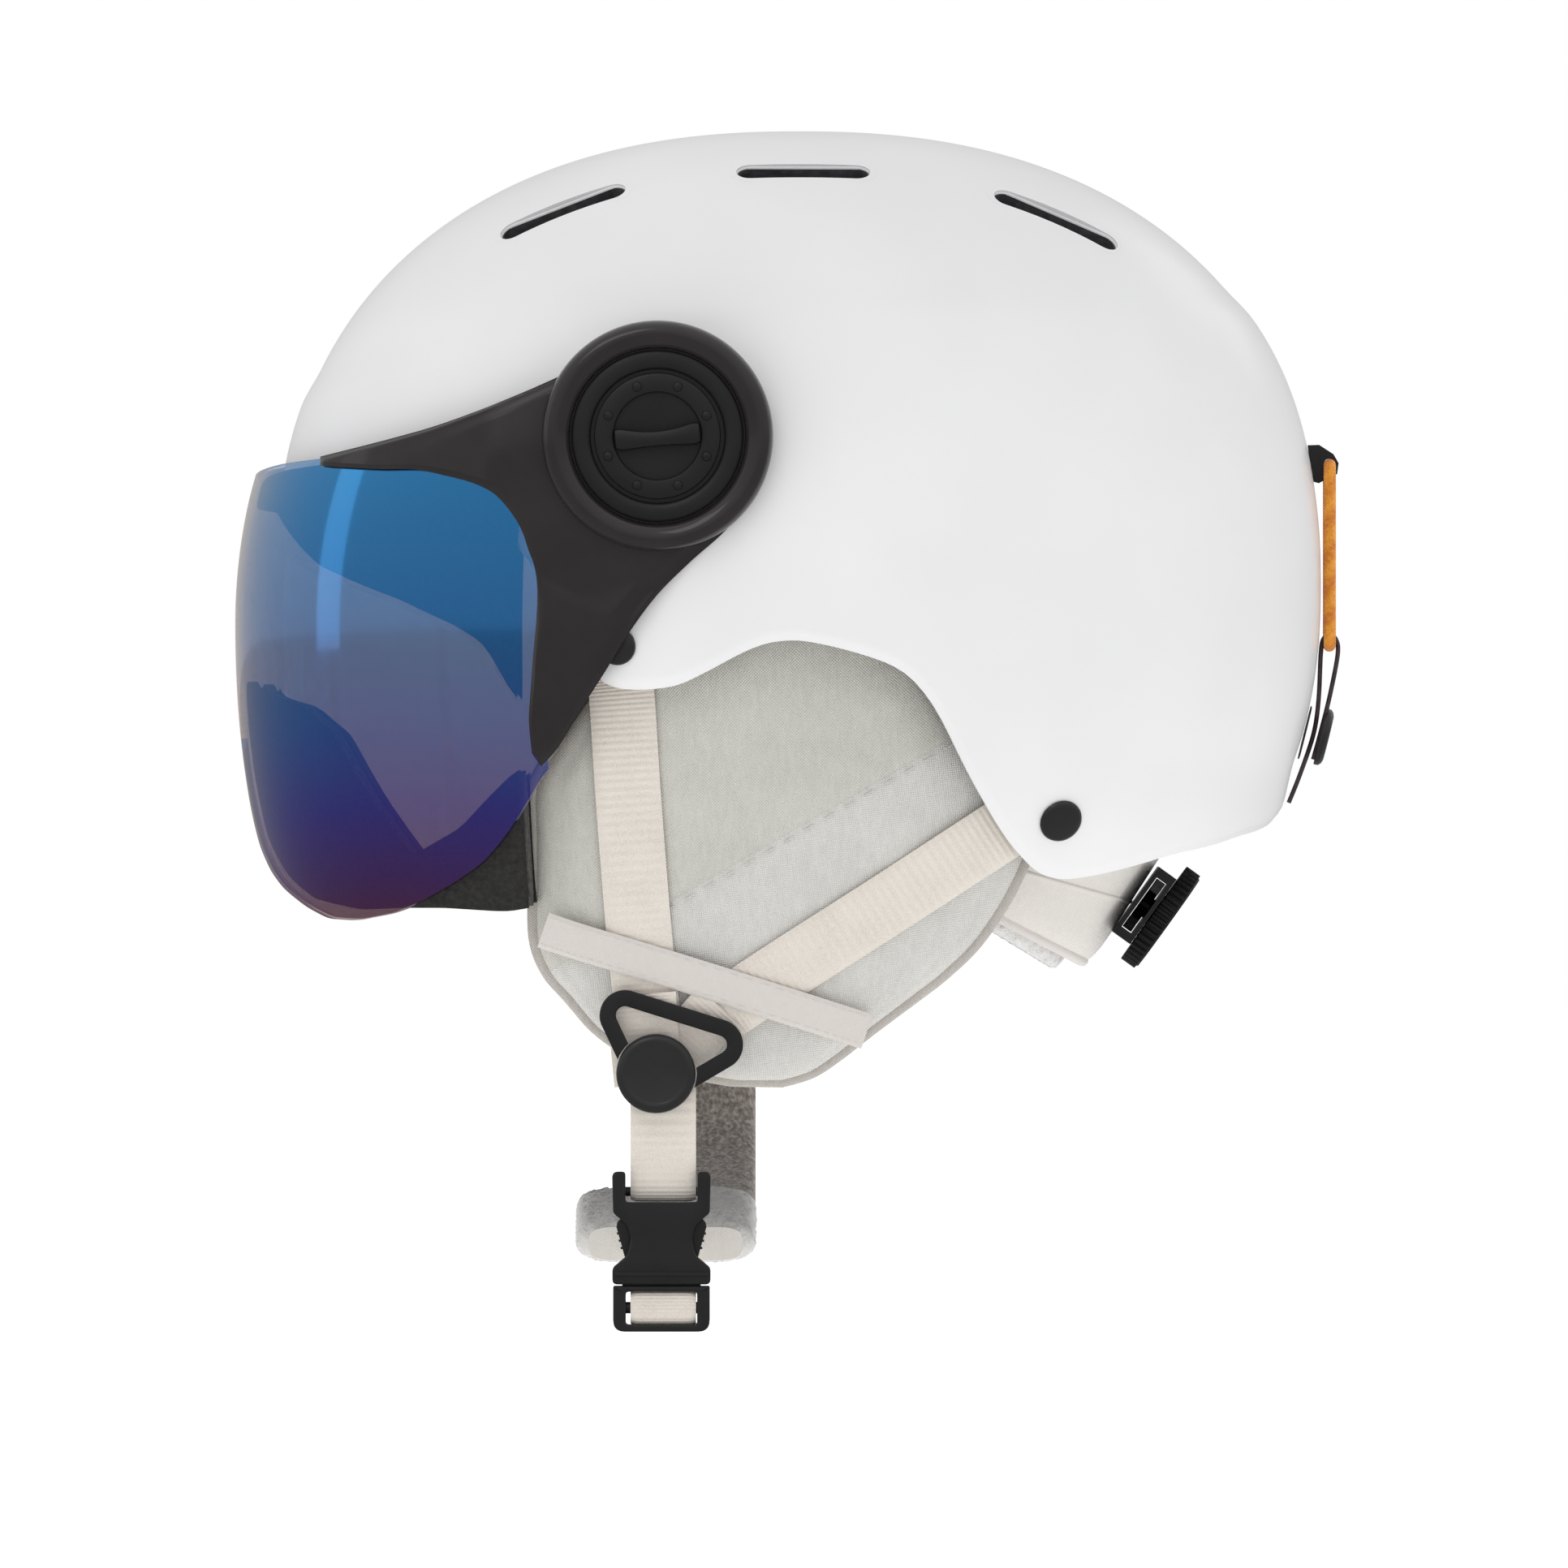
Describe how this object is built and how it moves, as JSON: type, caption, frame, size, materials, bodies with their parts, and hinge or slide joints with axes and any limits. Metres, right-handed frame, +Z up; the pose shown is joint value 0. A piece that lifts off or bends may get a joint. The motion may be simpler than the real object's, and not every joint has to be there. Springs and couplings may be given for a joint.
{
  "type": "snow helmet with visor",
  "caption": "Snow helmet with a rounded shell, a lifting mirrored visor on side hubs, fabric ear pads, a buckled chin strap, a nape fit dial and a goggle retainer.",
  "frame": {"origin": "middle of the head space, on the plane of symmetry", "axes": "+Z up through the crown, -X the way the wearer looks, -Y the wearer's left"},
  "size_m": [0.3062, 0.2324, 0.3315],
  "materials": {
    "shell": "white, satin",
    "foam_liner": "dark bead foam",
    "vent_mesh": "black mesh",
    "comfort_fabric": "brushed knit",
    "ear_fabric": "woven canvas, greige",
    "neck_fabric": "woven, off-white",
    "fleece": "off-white fleece",
    "inner_plastic": "satin",
    "rack_plastic": "satin",
    "black_plastic": "satin black",
    "visor_frame": "glossy charcoal",
    "mirror_lens": "blue mirror coating on a tinted lens",
    "visor_foam": "black foam",
    "black_rubber": "semi-gloss black",
    "webbing": "ribbed webbing, ivory",
    "keeper_fabric": "smooth tape",
    "heather_fabric": "heathered knit",
    "elastic": "round elastic cord, orange",
    "tab_leather": "dark brown"
  },
  "bodies": {
    "helmet": {"shell": "shell", "eps_liner": "foam_liner", "vent_grilles": "vent_mesh", "brow_pad": "comfort_fabric", "crown_pad": "comfort_fabric", "side_pad_left": "comfort_fabric", "side_pad_right": "comfort_fabric", "rear_pad": "comfort_fabric", "ear_pad_left": "ear_fabric", "ear_pad_right": "ear_fabric", "neck_pad": "neck_fabric", "fit_cradle": "inner_plastic", "neck_fleece": "fleece", "fit_dial_housing": "black_plastic", "hub_base_left": "black_plastic", "hub_base_right": "black_plastic", "rivets_front": "black_rubber", "rivets_rear": "black_rubber", "strap_front_left": "webbing", "strap_front_right": "webbing", "strap_rear_left": "webbing", "strap_rear_right": "webbing", "keeper_band_left": "keeper_fabric", "keeper_band_right": "keeper_fabric", "strap_divider_left": "black_plastic", "strap_divider_right": "black_plastic", "divider_button_left": "black_rubber", "divider_button_right": "black_rubber", "lower_strap_left": "webbing", "chin_strap": "webbing", "chin_pad": "fleece", "chin_sleeve": "heather_fabric", "buckle_socket": "black_plastic", "goggle_anchor": "black_plastic", "goggle_snap_base": "black_rubber"},
    "visor": {"visor_frame_left": "visor_frame", "visor_frame_right": "visor_frame", "hub_ring_left": "black_plastic", "hub_ring_right": "black_plastic", "visor_lens": "mirror_lens", "visor_face_foam": "visor_foam", "visor_brow_seal": "visor_foam"},
    "hub_knob_left": {"hub_dial_left": "black_plastic"},
    "hub_knob_right": {"hub_dial_right": "black_plastic"},
    "fit_dial": {"fit_dial_knob": "black_plastic"},
    "rack_left": {"fit_rack_left": "rack_plastic"},
    "rack_right": {"fit_rack_right": "rack_plastic"},
    "buckle_plug": {"buckle_plug": "black_plastic", "chin_strap_end": "webbing"},
    "arm_front": {"buckle_arm_front": "black_plastic"},
    "arm_rear": {"buckle_arm_rear": "black_plastic"},
    "goggle_clip": {"goggle_cord": "elastic", "goggle_tab": "tab_leather", "goggle_snap_cap": "black_rubber"}
  },
  "joints": [
    {"name": "visor_lift", "type": "hinge", "parent": "helmet", "child": "visor", "pos_m": [-0.039, 0, 0.04], "axis": [0, 1, 0], "range_deg": [0, 58]},
    {"name": "hub_turn_left", "type": "hinge", "parent": "helmet", "child": "hub_knob_left", "pos_m": [-0.039, -0.11, 0.04], "axis": [0, -1, 0], "range_deg": [0, 90]},
    {"name": "hub_turn_right", "type": "hinge", "parent": "helmet", "child": "hub_knob_right", "pos_m": [-0.039, 0.11, 0.04], "axis": [0, 1, 0], "range_deg": [0, 90]},
    {"name": "fit_dial_turn", "type": "hinge", "parent": "helmet", "child": "fit_dial", "pos_m": [0.09985, 0, -0.09215], "axis": [0.8121, 0, -0.5835], "range_deg": [-80, 80]},
    {"name": "rack_slide_right", "type": "slide", "parent": "helmet", "child": "rack_right", "axis": [0, 1, 0], "range_m": [-0.0071, 0.0071]},
    {"name": "rack_slide_left", "type": "slide", "parent": "helmet", "child": "rack_left", "axis": [0, 1, 0], "range_m": [-0.0071, 0.0071]},
    {"name": "plug_slide", "type": "slide", "parent": "helmet", "child": "buckle_plug", "axis": [0, 0, -1], "range_m": [0, 0.02]},
    {"name": "arm_bend_front", "type": "hinge", "parent": "buckle_plug", "child": "arm_front", "pos_m": [-0.0465, -0.08, -0.1895], "axis": [0, 1, 0], "range_deg": [0, 13.5]},
    {"name": "arm_bend_rear", "type": "hinge", "parent": "buckle_plug", "child": "arm_rear", "pos_m": [-0.0295, -0.08, -0.1895], "axis": [0, -1, 0], "range_deg": [0, 13.5]},
    {"name": "goggle_clip_swing", "type": "hinge", "parent": "helmet", "child": "goggle_clip", "pos_m": [0.1469, 0, 0.033], "axis": [0, -1, 0], "range_deg": [0, 110]}
  ],
  "couplings": [
    {"joint": "rack_slide_right", "follows": "fit_dial_turn", "m_per_rad": 0.005},
    {"joint": "rack_slide_left", "follows": "fit_dial_turn", "m_per_rad": -0.005},
    {"joint": "arm_bend_front", "follows": "plug_slide", "rad_per_m": 11.45},
    {"joint": "arm_bend_rear", "follows": "plug_slide", "rad_per_m": 11.45}
  ]
}
